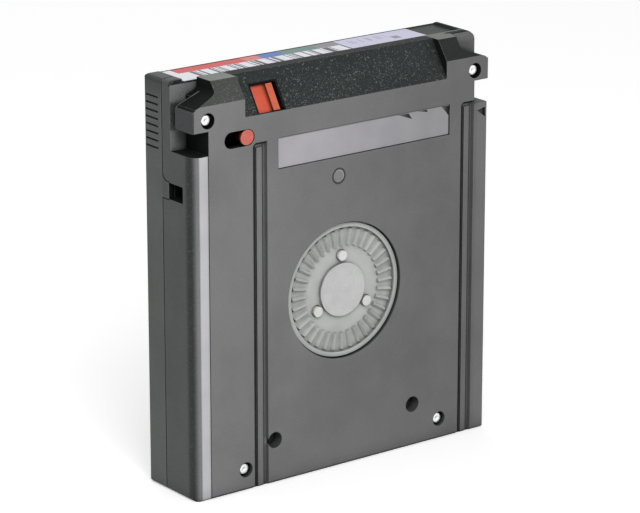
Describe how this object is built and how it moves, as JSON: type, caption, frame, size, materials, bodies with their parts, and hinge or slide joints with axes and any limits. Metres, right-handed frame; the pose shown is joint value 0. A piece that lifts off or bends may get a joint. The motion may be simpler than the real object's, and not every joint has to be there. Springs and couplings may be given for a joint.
{
  "type": "data tape cartridge",
  "caption": "Half-inch data tape cartridge: two-shell case with grip bevel, corner lugs and gripper notches, sprung door, braked reel and write-protect slider.",
  "frame": {"origin": "middle of the flat insertion end that the cartridge stands on", "axes": "+Z from the insertion end to the label end, +X across the width with the door's side at +X, +Y through the thickness away from the hub side"},
  "size_m": [0.109, 0.0244, 0.125],
  "materials": {
    "case_plastic": "fine spark-eroded texture, dark charcoal",
    "reel_plastic": "natural grey moulding",
    "tape": "smooth wound edge, dark brown",
    "steel": "ground and plated",
    "spring_steel": "drawn wire",
    "orange_plastic": "satin orange-red",
    "white_plastic": "satin white",
    "label_film": "coated label, colour fields",
    "silver_film": "smooth grey film",
    "leader_film": "polyester leader",
    "board": "solder mask green",
    "chip": "black encapsulation"
  },
  "bodies": {
    "case": {"lower_shell": "case_plastic", "upper_shell": "case_plastic", "brake_spring": "spring_steel", "door_spring": "spring_steel", "leader_pin": "steel", "leader_clip": "white_plastic", "leader_tape": "leader_film", "lower_pin_spring": "spring_steel", "upper_pin_spring": "spring_steel", "memory_board": "board", "memory_chip": "chip", "volume_label": "label_film", "base_label": "silver_film", "case_screw_label_left": "steel", "case_screw_label_right": "steel", "case_screw_base_left": "steel", "case_screw_base_right": "steel"},
    "reel": {"reel_hub": "reel_plastic", "upper_flange": "reel_plastic", "tape_pack": "tape", "drive_plate": "steel"},
    "release": {"release_pad": "white_plastic"},
    "lock": {"brake": "white_plastic"},
    "sliding_door": {"door": "case_plastic"},
    "write_protect": {"write_protect_slider": "orange_plastic"}
  },
  "joints": [
    {"name": "reel_spin", "type": "hinge", "parent": "case", "child": "reel", "pos_m": [0, 0, 0.055], "axis": [0, 1, 0], "continuous": true},
    {"name": "brake_lift", "type": "slide", "parent": "case", "child": "lock", "axis": [0, 1, 0], "range_m": [0, 0.002], "stiffness_N_per_m": 300, "springref_m": -0.01, "deforming": ["brake_spring"]},
    {"name": "release_lift", "type": "slide", "parent": "reel", "child": "release", "axis": [0, 1, 0], "range_m": [0, 0.002]},
    {"name": "door_slide", "type": "slide", "parent": "case", "child": "sliding_door", "axis": [0, 0, 1], "range_m": [0, 0.0165], "stiffness_N_per_m": 20, "springref_m": -0.02, "deforming": ["door_spring"]},
    {"name": "write_protect_slide", "type": "slide", "parent": "case", "child": "write_protect", "axis": [-1, 0, 0], "range_m": [0, 0.0052]}
  ],
  "couplings": [
    {"joint": "release_lift", "follows": "brake_lift", "ratio": 1}
  ]
}
